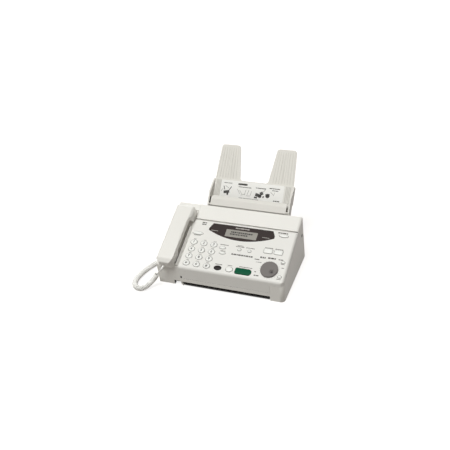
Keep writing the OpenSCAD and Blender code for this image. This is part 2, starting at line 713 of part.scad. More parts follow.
module tension_plate() color("#e7e4dc") desk() {
    tray_side(-lip_u, lip_u) polygon(rounded([[-2, ear_d - 1.2, 0], [-2, ear_d + 1.2, 1], [lip_len - 9, ear_d + 1.2, 6],
        [lip_len + 0.5, ear_d - 6.3, 1], [lip_len - 1, ear_d - 8.2, 0], [lip_len - 10, ear_d - 1.2, 4]]));
    on_tray(-ear_u + 0.8, lip_pivot[0], lip_pivot[1]) rotate([0, 90, 0]) cylinder(h = tray_w - 1.6, r = lip_pin_r);
}

arm_foot = 46;
arm_u = 115.5;
arm_tip_u = 110;

module paper_support() color("#d8d5cb") desk() difference() {
    on_tray(0, 0, -plate_t - rest_gap - arm_t) linear_extrude(arm_t) polygon(rounded([[-arm_u - 0.8, arm_foot, 2],
        [arm_u + 0.8, arm_foot, 2], [arm_u, plate_len, 0], [arm_tip_u, support_top, 8], [arm_tip_u - arm_tip, support_top, 8],
        [arm_u - arm_root, plate_len - 3, 8], [-arm_u + arm_root, plate_len - 3, 8],
        [-arm_tip_u + arm_tip, support_top, 8], [-arm_tip_u, support_top, 8], [-arm_u, plate_len, 0]]));
    for (m = [-1, 1], i = [0:4])
        on_tray(m * (arm_tip_u - 8 - 9.5 * i) - 0.6, plate_len + 6, -plate_t - rest_gap - 0.6) cube([1.2, arm_len - 18, 2]);
}

// ---------- handset ----------

part_n = 24;
hs_wall = 2.2;
cap_r = 12.5;
cap_s = 164;

// The handset's outer form, or with t its hollow
module handset_form(t = 0) intersection() {
    on_slope() rotate([90, 0, 90]) translate([0, 0, left]) linear_extrude(cradle_w + 10) polygon(rounded([
        [hs_s0 + 2 + t, block_n + t, 4], [mouth_s - t, block_n + t, 3], [mouth_s + 12 - t, grip_n + t, 8],
        [ear_s - 10 + t, grip_n + t, 8], [ear_s + t, block_n + t, 3], [hs_s1 - 2 - t, block_n + t, 4],
        [hs_s1 - t, hs_top - 9, 8], [hs_s1 - 12, hs_top - t, 12], [(hs_s0 + hs_s1) / 2, hs_top + 3 - t, 300],
        [hs_s0 + 12, hs_top - t, 12], [hs_s0 + t, hs_top - 9, 8]]));
    on_slope(0, 0, -20) linear_extrude(80) polygon(rounded([
        [hs_left + t, hs_s0 + t, 16], [hs_left + hs_w - t, hs_s0 + t, 19], [hs_left + hs_w - t, ear_s - 16, 20],
        [ear_right - t, ear_s + 2, 14], [ear_right - t, hs_s1 - t, 14], [hs_left + t, hs_s1 - t, 14]]));
    on_slope() rotate([90, 0, 0]) translate([0, 0, -300]) linear_extrude(500) polygon(rounded([
        [hs_left + draft + t, -30, 0], [ear_right - draft - t, -30, 0], [ear_right - t, 18, 10],
        [ear_right - t, hs_top + 3 - t, 14], [hs_left + t, hs_top + 3 - t, 14], [hs_left + t, 18, 10]]));
}

// Everything of the handset frame above or below its parting plane
module above(n, h = 60) on_slope(left - 10, -60, n) cube([120, 320, h]);

module handset_shell() color("#f1eee8") desk() difference() {
    intersection() {
        handset_form();
        above(part_n);
    }
    intersection() {
        handset_form(hs_wall);
        above(part_n - 1);
    }
}

module handset_face() color("#efece6") desk() difference() {
    intersection() {
        handset_form();
        above(part_n - 60);
    }
    intersection() {
        handset_form(hs_wall);
        above(block_n - 5);
    }
    for (a = [0:60:300]) on_slope(hs_x + 2 + 6 * cos(a), cap_s + 6 * sin(a), block_n - 1) cylinder(h = 5, r = 1.1);
    on_slope(hs_x, 8, block_n - 1) cylinder(h = 5, r = 1.2);
    on_slope(hs_x - entry_off, hs_s0 - 5, entry_n) rotate([-90, 0, 0]) cylinder(h = 15, r = wire_d / 2 + 0.3);
}

module capsules() color("#3a3a3c") desk() {
    on_slope(hs_x + 1, cap_s, block_n + hs_wall + eps) cylinder(h = 7, r = cap_r);
    on_slope(hs_x, 12, block_n + hs_wall + eps) cylinder(h = 4, r = 5);
}

module hook_plunger() color("#dedbd3") desk() on_slope(hs_x, plunger_s, block_n - 0.1 - plunger_len) {
    cylinder(h = plunger_len, r = plunger_r);
    translate([0, 0, 2]) cylinder(h = 2, r = plunger_r + 2);
}

// ---------- handset cord ----------

plug_w = 8;
plug_h = 6.4;
plug_len = 16;
entry_n = 9;
entry_off = 6;

// Route of the cord: out of the jack, round on the desk and up to the handset
lead_a = [[-192, 84, 20], [-198, 83, 18], [-205, 79, 13], [-211, 74, 9]];
coil_path = [[-211, 74, 9], [-217, 67, 8.5], [-226, 52, 8], [-234, 35, 8], [-240, 17, 8], [-244, -2, 8], [-244, -20, 8],
    [-238, -36, 8], [-226, -46, 8.5], [-212, -46, 9], [-201, -38, 12], [-193, -28, 17], [-186, -20, 24], [-181, -18, 31],
    [-176, -19, 39], [-170, -19, 47]];
lead_b = [[-170, -19, 47], [-165, -19, 54], [-160, -19, 61], [-155, -18, 67], [-152.5, -14, 70.2], [-152.5, -10.9, 71.4]];

// A closed tube of radius r through the points of path
module swept(path, r, sides = 8) {
    last = len(path) - 1;
    up = unit([0.25, 0.15, 1]);
    rings = [for (i = [0:last])
        let (t = unit(path[min(i + 1, last)] - path[max(i - 1, 0)]), a = unit(cross(up, t)), b = cross(t, a))
        for (k = [0:sides - 1]) path[i] + r * (cos(360 * k / sides) * a + sin(360 * k / sides) * b)];
    walls = [for (i = [0:last - 1], k = [0:sides - 1]) let (m = (k + 1) % sides)
        [i * sides + k, (i + 1) * sides + k, (i + 1) * sides + m, i * sides + m]];
    polyhedron(rings, concat([[for (k = [0:sides - 1]) k]], walls,
        [[for (k = [0:sides - 1]) last * sides + sides - 1 - k]]));
}

module cord_coil() color("#eeebe4") desk() swept(coil_path, coil_d / 2, 10);

module cord_leads() color("#eeebe4") desk() {
    swept(lead_a, wire_d / 2);
    swept(lead_b, wire_d / 2);
}

module cord_plug() color("#d9d6cd") desk()
    translate([left - 12, jack_y - plug_w / 2, jack_z - plug_h / 2]) cube([plug_len, plug_w, plug_h]);

lower_case();
handset_cradle();
rubber_feet();
exit_guide();
roller_frame();
hinge_pins();
main_board();
power_board();
socket_block();
speaker();
thermal_head();
image_sensor();
drive_motor();
case_screws();
platen_roller();
document_roller();
pickup_roller();
film_supply();
film_takeup();
control_panel();
display_lens();
display_module();
panel_board();
jog_dial();
key_1();
key_2();
key_3();
key_4();
key_5();
key_6();
key_7();
key_8();
key_9();
key_star();
key_0();
key_hash();
monitor_key();
stop_key();
start_key();
redial_key();
flash_key();
mode_key();
help_key();
memory_key_left();
memory_key_right();
volume_up_key();
volume_down_key();
menu_key();
directory_key();
top_cover();
paper_tray();
tension_plate();
paper_support();
handset_shell();
handset_face();
capsules();
hook_plunger();
cord_coil();
cord_leads();
cord_plug();
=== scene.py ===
import math

import bmesh
import bpy
from mathutils import Matrix, Vector


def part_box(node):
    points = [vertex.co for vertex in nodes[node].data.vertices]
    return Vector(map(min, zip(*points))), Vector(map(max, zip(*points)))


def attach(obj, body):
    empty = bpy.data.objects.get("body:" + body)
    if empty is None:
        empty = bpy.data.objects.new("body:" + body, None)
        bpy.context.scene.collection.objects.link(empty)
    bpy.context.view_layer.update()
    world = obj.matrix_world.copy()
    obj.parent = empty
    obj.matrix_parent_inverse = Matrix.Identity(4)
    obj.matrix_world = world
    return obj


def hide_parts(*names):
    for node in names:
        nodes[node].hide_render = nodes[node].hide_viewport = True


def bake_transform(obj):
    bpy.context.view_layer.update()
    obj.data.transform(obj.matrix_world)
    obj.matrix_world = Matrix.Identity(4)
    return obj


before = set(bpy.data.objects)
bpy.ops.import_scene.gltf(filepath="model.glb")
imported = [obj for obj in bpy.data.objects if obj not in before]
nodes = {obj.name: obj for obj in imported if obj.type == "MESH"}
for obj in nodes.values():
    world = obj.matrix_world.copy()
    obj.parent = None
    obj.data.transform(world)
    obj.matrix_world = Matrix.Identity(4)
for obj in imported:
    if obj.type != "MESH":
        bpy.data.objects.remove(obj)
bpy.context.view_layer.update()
mm = 0.001

# ---------- camera ----------
# The machine is seen from the user's right and from above, with the camera turned a little in its
# own plane. The casing's front face is the plane from which the aim point is measured.
front_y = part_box("control_panel")[0].y
view_azimuth = math.radians(25.2284)
view_elevation = math.radians(35.8931)
view_roll = math.radians(-7.6699)
view_distance = 1.9184666
aim = Vector((0, front_y + 0.130, 0.080))
aim_across, aim_up = -0.0240278, 0.0403582

back = Vector((math.sin(view_azimuth) * math.cos(view_elevation),
               -math.cos(view_azimuth) * math.cos(view_elevation), math.sin(view_elevation)))
level = Vector((math.cos(view_azimuth), math.sin(view_azimuth), 0))
upright = back.cross(level)
across = level * math.cos(view_roll) + upright * math.sin(view_roll)
upward = upright * math.cos(view_roll) - level * math.sin(view_roll)

camera = bpy.data.objects.new("camera", bpy.data.cameras.new("camera"))
camera.data.sensor_width = 36
camera.data.lens = 55.7576
camera.data.clip_start, camera.data.clip_end = 0.05, 30
eye = aim + across * aim_across + upward * aim_up + back * view_distance
turned = Matrix((across, upward, back)).transposed().to_4x4()
camera.matrix_world = Matrix.Translation(eye) @ turned
bpy.context.scene.collection.objects.link(camera)
bpy.context.scene.camera = camera

# ---------- handset cord ----------
# A white curly cord of PVC over tinsel wire, wound on a mandrel and set by heat. It leaves the jack
# in the cradle's left face, lies on the desk in front of it and climbs to the end of the handset.
wire_d = 2.8 * mm
coil_d = 15 * mm
coil_pitch = 3.55 * mm
jack_lead = [(-192, 84, 20), (-198, 83, 18), (-205, 79, 13), (-211, 74, 9)]
coil_route = [(-211, 74, 9), (-217, 67, 8.5), (-226, 52, 8), (-234, 35, 8), (-240, 17, 8),
              (-244, -2, 8), (-244, -20, 8), (-238, -36, 8), (-226, -46, 8.5), (-212, -46, 9),
              (-201, -38, 12), (-193, -28, 17), (-186, -20, 24), (-181, -18, 31),
              (-176, -19, 39), (-170, -19, 47)]
handset_lead = [(-170, -19, 47), (-165, -19, 54), (-160, -19, 61), (-155, -18, 67),
                (-152.5, -14, 70.2), (-152.5, -10.9, 71.4)]
lead_step, coil_step = 2 * mm, 1 * mm
open_turns = 1.2
boot_points, boot_clearance, boot_taper = 17, 0.3 * mm, 1.75


def from_desk(point):
    """A point in millimetres, measured from the casing's front face, in the part's frame."""
    return Vector((point[0] * mm, front_y + point[1] * mm, point[2] * mm))


def smooth_line(points, step):
    """Points every step along a smooth curve through the given ones."""
    ends = [points[0] * 2 - points[1], *points, points[-1] * 2 - points[-2]]
    line = [points[0]]
    for a, b, c, d in zip(ends, ends[1:], ends[2:], ends[3:]):
        count = max(2, round((c - b).length / step))
        for i in range(1, count + 1):
            t = i / count
            line.append((b * 2 + (c - a) * t + (a * 2 - b * 5 + c * 4 - d) * t * t
                         + (b * 3 - a - c * 3 + d) * t * t * t) / 2)
    return line


def coiled_line(line, radius, pitch, turn_points=14):
    """A helix round a line, which opens from it and closes to it over its first and last turns."""
    total = sum((b - a).length for a, b in zip(line, line[1:]))
    turns = round(total / pitch)
    side = (line[1] - line[0]).cross(Vector((0, 0, 1))).normalized()
    helix, done = [], 0.0
    for a, b in zip(line, line[1:]):
        tangent = (b - a).normalized()
        side = (side - tangent * side.dot(tangent)).normalized()
        other = tangent.cross(side)
        steps = max(1, round((b - a).length / total * turns * turn_points))
        for i in range(steps):
            share = (done + (b - a).length * i / steps) / total
            grown = min(1, share * turns / open_turns, (1 - share) * turns / open_turns)
            angle = 2 * math.pi * turns * share
            around = side * math.cos(angle) + other * math.sin(angle)
            helix.append(a.lerp(b, i / steps) + around * radius * grown)
        done += (b - a).length
    return helix


coil_axis = smooth_line([from_desk(p) for p in coil_route], coil_step)
cord_line = smooth_line([from_desk(p) for p in jack_lead], lead_step)[:-1]
cord_line += coiled_line(coil_axis, (coil_d - wire_d) / 2, coil_pitch)
cord_line += smooth_line([from_desk(p) for p in handset_lead], lead_step)


def tube(name, line, diameter, sides=10, taper=1.0):
    """A mesh tube along a line, with closed ends, that grows by taper to its far end."""
    curve = bpy.data.curves.new(name, "CURVE")
    curve.dimensions = "3D"
    curve.bevel_depth = diameter / 2
    curve.bevel_resolution = (sides - 4) // 2
    curve.use_fill_caps = True
    spline = curve.splines.new("POLY")
    spline.points.add(len(line) - 1)
    for i, (point, p) in enumerate(zip(spline.points, line)):
        point.co = (*p, 1)
        point.radius = 1 + (taper - 1) * i / (len(line) - 1)
    carrier = bpy.data.objects.new(name + "_line", curve)
    mesh = bpy.data.meshes.new_from_object(carrier)
    bpy.data.objects.remove(carrier)
    piece = bpy.data.objects.new(name, mesh)
    bpy.context.scene.collection.objects.link(piece)
    mesh.shade_smooth()
    return piece


grain_mm, grain_depth = 0.9, 0.03 * mm
drift_scale, sheen_drift, coat_roughness = 9, 0.06, 0.12
weld_gap, sharp_edge = 0.01 * mm, math.radians(38)


def surface(name):
    """A new material, its nodes' tree, its shader and the object's own coordinates."""
    material = bpy.data.materials.new(name)
    material.use_nodes = True
    tree = material.node_tree
    places = tree.nodes.new("ShaderNodeTexCoord").outputs["Object"]
    return material, tree, tree.nodes["Principled BSDF"], places


def plastic(name, colour, roughness=0.42, grain=0.6, tint=0.012, coat=0.0, gloss=0.35):
    """Moulded plastic: a spark-eroded grain, and a slow drift in tone and in roughness."""
    material, tree, shader, places = surface(name)
    drift = tree.nodes.new("ShaderNodeTexNoise")
    drift.inputs["Scale"].default_value = drift_scale
    drift.inputs["Detail"].default_value = 3
    fine = tree.nodes.new("ShaderNodeTexNoise")
    fine.inputs["Scale"].default_value = 1000 / grain_mm
    fine.inputs["Detail"].default_value = 2
    tones = tree.nodes.new("ShaderNodeMix")
    tones.data_type = "RGBA"
    tones.inputs["A"].default_value = (*[max(0, c - tint) for c in colour], 1)
    tones.inputs["B"].default_value = (*[min(1, c + tint) for c in colour], 1)
    sheen = tree.nodes.new("ShaderNodeMapRange")
    sheen.inputs["To Min"].default_value = roughness - sheen_drift
    sheen.inputs["To Max"].default_value = roughness + sheen_drift
    bump = tree.nodes.new("ShaderNodeBump")
    bump.inputs["Strength"].default_value = grain
    bump.inputs["Distance"].default_value = grain_depth
    for noise in (drift, fine):
        tree.links.new(places, noise.inputs["Vector"])
    tree.links.new(drift.outputs["Fac"], tones.inputs["Factor"])
    tree.links.new(drift.outputs["Fac"], sheen.inputs["Value"])
    tree.links.new(fine.outputs["Fac"], bump.inputs["Height"])
    tree.links.new(tones.outputs["Result"], shader.inputs["Base Color"])
    tree.links.new(sheen.outputs["Result"], shader.inputs["Roughness"])
    tree.links.new(bump.outputs["Normal"], shader.inputs["Normal"])
    shader.inputs["Specular IOR Level"].default_value = gloss
    shader.inputs["Coat Weight"].default_value = coat
    shader.inputs["Coat Roughness"].default_value = coat_roughness
    return material


def dress(node, material, edge=0.0, segments=2):
    """Gives a frame node its finish, and softens its edges by a moulding radius."""
    piece = nodes[node]
    piece.data.materials.clear()
    piece.data.materials.append(material)
    if edge:
        weld = piece.modifiers.new("weld", "WELD")
        weld.merge_threshold = weld_gap
        soft = piece.modifiers.new("edge", "BEVEL")
        soft.width = edge
        soft.segments = segments
        soft.limit_method = "ANGLE"
        soft.angle_limit = sharp_edge
        soft.harden_normals = True


cord_pvc = plastic("cord_pvc", (0.95, 0.945, 0.92), roughness=0.4, grain=0.15)
boot_line = smooth_line([from_desk(p) for p in handset_lead], coil_step)[-boot_points:]
boot = tube("cord_boot", boot_line, wire_d + boot_clearance, 12, taper=boot_taper)
boot.data.materials.append(cord_pvc)
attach(boot, "handset")
cord = tube("handset_cord", cord_line, wire_d)
cord.data.materials.append(cord_pvc)
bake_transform(cord)
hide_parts("cord_coil", "cord_leads")
clear_plug = plastic("clear_plug", (0.80, 0.79, 0.75), roughness=0.2, grain=0.05, coat=0.3)
dress("cord_plug", clear_plug, 0.5 * mm)

# ---------- casing ----------
# Injection-moulded ABS in a warm white, with a fine spark-eroded grain on every outer face. The
# control panel is a shade darker, and the sheet tray and its plate are beige.
casing_edge, tray_edge = 0.6 * mm, 0.4 * mm
casing_white = plastic("casing_abs", (0.83, 0.815, 0.775))
for node in ("lower_case", "handset_cradle", "top_cover"):
    dress(node, casing_white, casing_edge)
dress("control_panel", plastic("panel_abs", (0.79, 0.778, 0.745)), casing_edge)
tray_beige = plastic("tray_abs", (0.735, 0.715, 0.672))
for node in ("paper_tray", "tension_plate"):
    dress(node, tray_beige, tray_edge)
for node in ("handset_shell", "handset_face"):
    dress(node, casing_white)

# ---------- keys ----------
# Each key is a moulded cap with a crowned top and a plain printed figure. They are white, with a
# green start key and a near-black monitor key, and stand 2.2 mm out of the panel.
panel_slope = math.radians(20)
panel_front_height = 67 * mm
panel_front = Vector((0, front_y, panel_front_height))
panel_face = Matrix.Translation(panel_front) @ Matrix.Rotation(panel_slope, 4, "X")


def on_panel(x, s, n=0.0):
    """Places a mesh across, along and above the panel's face, in millimetres."""
    return panel_face @ Matrix.Translation(Vector((x, s, n)) * mm)


def finished(name, shape, body, material, smooth=40):
    """Makes a mesh of its own from a bmesh, in place, and hangs it on its body."""
    mesh = bpy.data.meshes.new(name)
    shape.to_mesh(mesh)
    shape.free()
    mesh.shade_smooth()
    mesh.set_sharp_from_angle(angle=math.radians(smooth))
    mesh.materials.append(material)
    piece = bpy.data.objects.new(name, mesh)
    bpy.context.scene.collection.objects.link(piece)
    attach(piece, body)
    return piece


def raise_face(shape, faces, height):
    """Extrudes flat faces into a slab, and returns the faces of its top."""
    raised = bmesh.ops.extrude_face_region(shape, geom=faces)["geom"]
    bmesh.ops.translate(shape, verts=[v for v in raised if isinstance(v, bmesh.types.BMVert)],
                        vec=(0, 0, height))
    return [f for f in raised if isinstance(f, bmesh.types.BMFace)]


def outline(width, depth, radii=None):
    """A flat face: an oval, or a rectangle whose right and left corners have the given radii."""
    shape = bmesh.new()
    if radii is None:
        bmesh.ops.create_circle(shape, cap_ends=True, segments=40, radius=0.5 * mm)
        bmesh.ops.scale(shape, vec=(width, depth, 1), verts=shape.verts)
        return shape
    bmesh.ops.create_grid(shape, x_segments=1, y_segments=1, size=0.5 * mm)
    bmesh.ops.scale(shape, vec=(width, depth, 1), verts=shape.verts)
    for side, radius in zip((1, -1), radii):
        corners = [v for v in shape.verts if v.co.x * side > width * 0.499 * mm]
        bmesh.ops.bevel(shape, geom=corners, offset=radius * mm, offset_type="OFFSET",
                        affect="VERTICES", segments=8, profile=0.5, material=-1)
    return shape


def crowned(shape, bottom, shoulder, top, insets):
    """Raises a flat face into a cap with a rounded shoulder and a crown that rises to top."""
    bmesh.ops.translate(shape, verts=shape.verts, vec=(0, 0, bottom * mm))
    face = raise_face(shape, shape.faces[:1], (shoulder - bottom) * mm)[0]
    rise = top - shoulder
    for inset, share in insets:
        half_w, half_d = max(v.co.x for v in face.verts), max(v.co.y for v in face.verts)
        bmesh.ops.inset_region(shape, faces=[face], thickness=0)
        bmesh.ops.scale(shape, vec=(1 - inset * mm / half_w, 1 - inset * mm / half_d, 1),
                        verts=face.verts[:])
        bmesh.ops.translate(shape, verts=face.verts[:], vec=(0, 0, share * rise * mm))
    bmesh.ops.recalc_face_normals(shape, faces=shape.faces[:])
    return shape


key_seat, key_shoulder, key_top = -3.0, 1.05, 2.2
small_crown = [(0.25, 0.42), (0.45, 0.28), (0.9, 0.2), (1.2, 0.1)]
wide_crown = [(0.3, 0.36), (0.6, 0.26), (1.4, 0.24), (2.2, 0.14)]
key_white = plastic("key_white", (0.86, 0.86, 0.83), roughness=0.36, grain=0.2)
key_green = plastic("key_green", (0.001, 0.084, 0.037), roughness=0.4, grain=0.2, tint=0.001,
                    gloss=0.08)
key_dark = plastic("key_dark", (0.021, 0.017, 0.016), roughness=0.4, grain=0.2, tint=0.004,
                   gloss=0.12)
figure_ink = plastic("figure_ink", (0.06, 0.055, 0.052), roughness=0.6, grain=0.1, tint=0.004)
size_for_height = 1.38
figure_film, figure_boldness, figure_sunk = 0.06, 0.3, 0.05
ring_reach, ring_width, ring_corner = 2.3, 0.8, 1.1


def figure(name, text, x, s, n, height, body, ink):
    """A printed figure, as a thin raised mesh that faces off the panel."""
    letters = bpy.data.curves.new(name, "FONT")
    letters.body = text
    letters.size = height * size_for_height * mm
    letters.align_x, letters.align_y = "CENTER", "CENTER"
    letters.extrude = figure_film * mm
    letters.offset = figure_boldness * mm
    letters.resolution_u = 4
    carrier = bpy.data.objects.new(name + "_text", letters)
    mesh = bpy.data.meshes.new_from_object(carrier)
    bpy.data.objects.remove(carrier)
    mesh.transform(on_panel(x, s, n))
    mesh.materials.append(ink)
    piece = bpy.data.objects.new(name, mesh)
    bpy.context.scene.collection.objects.link(piece)
    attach(piece, body)


def surround(rings, x, s, width, depth, radii=None):
    """Adds a thin ring of dark print round a key, as painted shade of the gap round it."""
    corners = radii and [radius + ring_corner for radius in radii]
    ring = outline(width + ring_reach, depth + ring_reach, corners)
    inner = ring.faces[:]
    bmesh.ops.inset_region(ring, faces=inner, thickness=ring_width * mm, use_even_offset=True,
                           use_boundary=True)
    bmesh.ops.delete(ring, geom=inner, context="FACES")
    bmesh.ops.translate(ring, verts=ring.verts, vec=(x * mm, s * mm, 0))
    carrier = bpy.data.meshes.new("ring")
    ring.to_mesh(carrier)
    ring.free()
    rings.from_mesh(carrier)
    bpy.data.meshes.remove(carrier)


# Painted shade for the gaps round the keys, gathered as rings of print.
key_shade_rings = bmesh.new()
digit_pitch_x, digit_pitch_s = 29.3, 22.3
digit_x, digit_s = -95, 15.9
digit_w, digit_d = 18, 14
digit_rows = [["star", "0", "hash"], ["7", "8", "9"], ["4", "5", "6"], ["1", "2", "3"]]
signs = {"star": "*", "hash": "#"}
figure_height = 7
star_height, star_drop = 11, 2.6
for row, names in enumerate(digit_rows):
    for column, name in enumerate(names):
        x, s = digit_x + column * digit_pitch_x, digit_s + row * digit_pitch_s
        cap = crowned(outline(digit_w, digit_d), key_seat, key_shoulder, key_top, wide_crown)
        bmesh.ops.transform(cap, matrix=on_panel(x, s), verts=cap.verts)
        piece = finished("cap_" + name, cap, f"key_{name}_cap", key_white)
        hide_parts("key_" + name)
        surround(key_shade_rings, x, s, digit_w, digit_d)
        tall, drop = (star_height, star_drop) if name == "star" else (figure_height, 0)
        figure("figure_" + name, signs.get(name, name), x, s - drop, key_top - figure_sunk, tall,
               f"key_{name}_cap", figure_ink)

# name, across, along, width, depth, corner radii at the right and left (an oval without), crown,
# finish and slot of each key
function_keys = [
    ("monitor_key", -4.4, 15.6, 20, 13, None, wide_crown, key_dark, "dark_key"),
    ("stop_key", 28, 16.3, 19, 14, None, wide_crown, key_white, "white_keys"),
    ("start_key", 67, 16, 44, 17.5, (8.2, 4), wide_crown, key_green, "green_key"),
    ("redial_key", -10, 77.8, 17, 7, None, small_crown, key_white, "white_keys"),
    ("flash_key", -5.5, 62, 17, 7, None, small_crown, key_white, "white_keys"),
    ("mode_key", 37.9, 79.4, 9, 7, None, small_crown, key_white, "white_keys"),
    ("help_key", 66.4, 79.4, 9, 7, None, small_crown, key_white, "white_keys"),
    ("memory_key_left", 116.4, 88, 23, 13, (3, 3), wide_crown, key_white, "white_keys"),
    ("memory_key_right", 144.8, 88, 23, 13, (3, 3), wide_crown, key_white, "white_keys"),
    ("volume_up_key", 164.5, 60.4, 10, 6, None, small_crown, key_white, "white_keys"),
    ("volume_down_key", 166, 17.5, 10, 6, None, small_crown, key_white, "white_keys"),
    ("menu_key", 145.7, 140, 25, 8, None, small_crown, key_white, "white_keys"),
    ("directory_key", -93.5, 112.6, 30, 8.5, None, small_crown, key_white, "white_keys"),
]
for name, x, s, width, depth, radii, crown, finish, slot in function_keys:
    cap = crowned(outline(width, depth, radii), key_seat, key_shoulder, key_top, crown)
    bmesh.ops.transform(cap, matrix=on_panel(x, s), verts=cap.verts)
    piece = finished(name + "_cap", cap, name + "_cap", finish)
    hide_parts(name)
    surround(key_shade_rings, x, s, width, depth, radii)

# ---------- display ----------
# A glossy smoke-brown lens, printed dark from behind round a liquid crystal window of two lines.
# The window's cells stand darker than its warm grey ground.
lens_proud = 0.5
screen_bottom, screen_shoulder, screen_top = lens_proud - 0.3, lens_proud + 0.05, lens_proud + 0.12
lens_smoke = plastic("lens_smoke", (0.036, 0.026, 0.024), roughness=0.16, grain=0.02, tint=0.004,
                     gloss=0.22)
dress("display_lens", lens_smoke, 0.3 * mm)
window_x, window_s, window_w, window_h = 29, 126.5, 90, 23

screen_grey = plastic("screen_grey", (0.325, 0.31, 0.28), roughness=0.3, grain=0.02, gloss=0.2)
screen = crowned(outline(window_w, window_h, (1.5, 1.5)), screen_bottom, screen_shoulder,
                 screen_top, [(0.25, 1.0)])
bmesh.ops.transform(screen, matrix=on_panel(window_x, window_s), verts=screen.verts)
finished("display_window", screen, "panel", screen_grey)

dash_unevenness, dash_gap = 0.45, 0.32


def bar(shape, x, y, width, height, turn=0.0):
    """Adds a flat rectangle of print, turned in its plane."""
    corners = bmesh.ops.create_grid(shape, x_segments=1, y_segments=1, size=0.5 * mm)["verts"]
    bmesh.ops.scale(shape, vec=(width, height, 1), verts=corners)
    bmesh.ops.rotate(shape, cent=(0, 0, 0), matrix=Matrix.Rotation(turn, 3, "Z"), verts=corners)
    bmesh.ops.translate(shape, vec=Vector((x, y, 0)) * mm, verts=corners)


def dashes(shape, x, s, length, height, words, skew=0):
    """Adds a line of print as a row of short bars of unequal length, centred on a place."""
    widths = [1 + dash_unevenness * math.sin(2.4 * i + x + skew) for i in range(words)]
    space = height * dash_gap
    scale = (length - space * (words - 1)) / sum(widths)
    left_end = x - length / 2
    for w in widths:
        bar(shape, left_end + w * scale / 2, s, w * scale, height)
        left_end += w * scale + space


def printed(name, shape, body, material, place, thickness=0.04):
    """Gives flat print its film of ink and sets it on the face that it is printed on."""
    raise_face(shape, shape.faces[:], thickness * mm)
    bmesh.ops.recalc_face_normals(shape, faces=shape.faces[:])
    bmesh.ops.transform(shape, matrix=place, verts=shape.verts)
    finished(name, shape, body, material)


screen_ink = plastic("screen_ink", (0.035, 0.035, 0.033), roughness=0.3, grain=0.02, tint=0.004)
cells_x, cell_height, cells_in_line, cell_film = -4, 4.2, 11, 0.05
cells = bmesh.new()
for line_s, length in ((4.2, 62), (-2.6, 50)):
    dashes(cells, cells_x + line_s, line_s, length, cell_height, cells_in_line, skew=line_s)
printed("display_cells", cells, "panel", screen_ink, on_panel(window_x, window_s, screen_top),
        cell_film)
# across, along, length, height and number of dashes of each line of print
lens_lines = [(-49, 128, 20, 1.5, 3), (99, 127, 20, 1.5, 3), (28, 144.5, 40, 3.4, 5)]
lens_marks = bmesh.new()
for x, s, length, height, words in lens_lines:
    dashes(lens_marks, x, s, length, height, words)
lens_print = plastic("lens_print", (0.42, 0.40, 0.37), roughness=0.4, grain=0.05)
printed("lens_marks", lens_marks, "panel", lens_print, on_panel(0, 0, lens_proud))

# ---------- panel print ----------
# Pad-printed dark-grey legends beside the keys, in short dashes that spell nothing, a bold line in
# the middle and a ring of strokes round the dial.
# across, along, length, height and number of dashes of each line of print
legends = [
    (-85, 148.6, 13, 3.2, 2), (-85, 143.2, 13, 3.2, 2), (50, 63.4, 60, 4.2, 9),
    (107.7, 66.9, 15, 4.6, 3), (132.1, 67.9, 21, 4.4, 3), (156.8, 67.5, 13, 2.6, 2),
    (104.3, 11.4, 13, 3.2, 2), (93.3, 58.9, 13, 2.4, 2), (141.5, 148.6, 27, 3.4, 4),
    (-7, 87.5, 24, 2, 3), (37.5, 88.5, 24, 2, 4), (66.5, 88.5, 24, 2, 4), (37.5, 92, 17, 1.4, 3),
    (-4.4, 26.5, 20, 1.8, 3), (27, 28, 13, 1.6, 2), (71, 29.5, 36, 1.7, 6),
    (-5.5, 68.5, 14, 1.6, 2), (116.4, 97.6, 22, 1.8, 4), (144.8, 97.6, 22, 1.8, 4),
    (100.5, 51, 15, 1.4, 4), (99, 22, 4, 2.6, 1), (165, 55, 10, 1.4, 2), (168, 44, 7, 1.5, 1),
    (-93.5, 106, 20, 1.4, 4), (165, 10.5, 11, 1.8, 2),
]
letters_above, letters_width, letters_height = 10.4, 8, 1.3
panel_ink = plastic("panel_ink", (0.085, 0.078, 0.072), roughness=0.6, grain=0.1, tint=0.004)
print_lines = bmesh.new()
for x, s, length, height, words in legends:
    dashes(print_lines, x, s, length, height, words)
for row, names in enumerate(digit_rows):
    for column in range(len(names)):
        dashes(print_lines, digit_x + column * digit_pitch_x,
               digit_s + row * digit_pitch_s + letters_above, letters_width, letters_height, 3,
               skew=row)
printed("panel_legends", print_lines, "panel", panel_ink, on_panel(0, 0))

# The rings round the keys are dark print: painted shade of the gaps between the keys and the panel.
painted_ring_shade = plastic("painted_ring_shade", (0.10, 0.095, 0.09), roughness=0.6, grain=0.1)
printed("key_shade_rings", key_shade_rings, "panel", painted_ring_shade, on_panel(0, 0))

dial_centre, dial_radius, strokes_outside = (134.2, 33.4), 23.6, 3
stroke_count, stroke_first, stroke_sweep = 21, -90, 300
stroke_length, stroke_width = 1.8, 0.5
reach = dial_radius + strokes_outside
strokes = bmesh.new()
for i in range(stroke_count):
    angle = math.radians(stroke_first + stroke_sweep * i / (stroke_count - 1))
    bar(strokes, reach * math.cos(angle), reach * math.sin(angle), stroke_length, stroke_width,
        angle)
printed("dial_strokes", strokes, "panel", panel_ink, on_panel(*dial_centre))

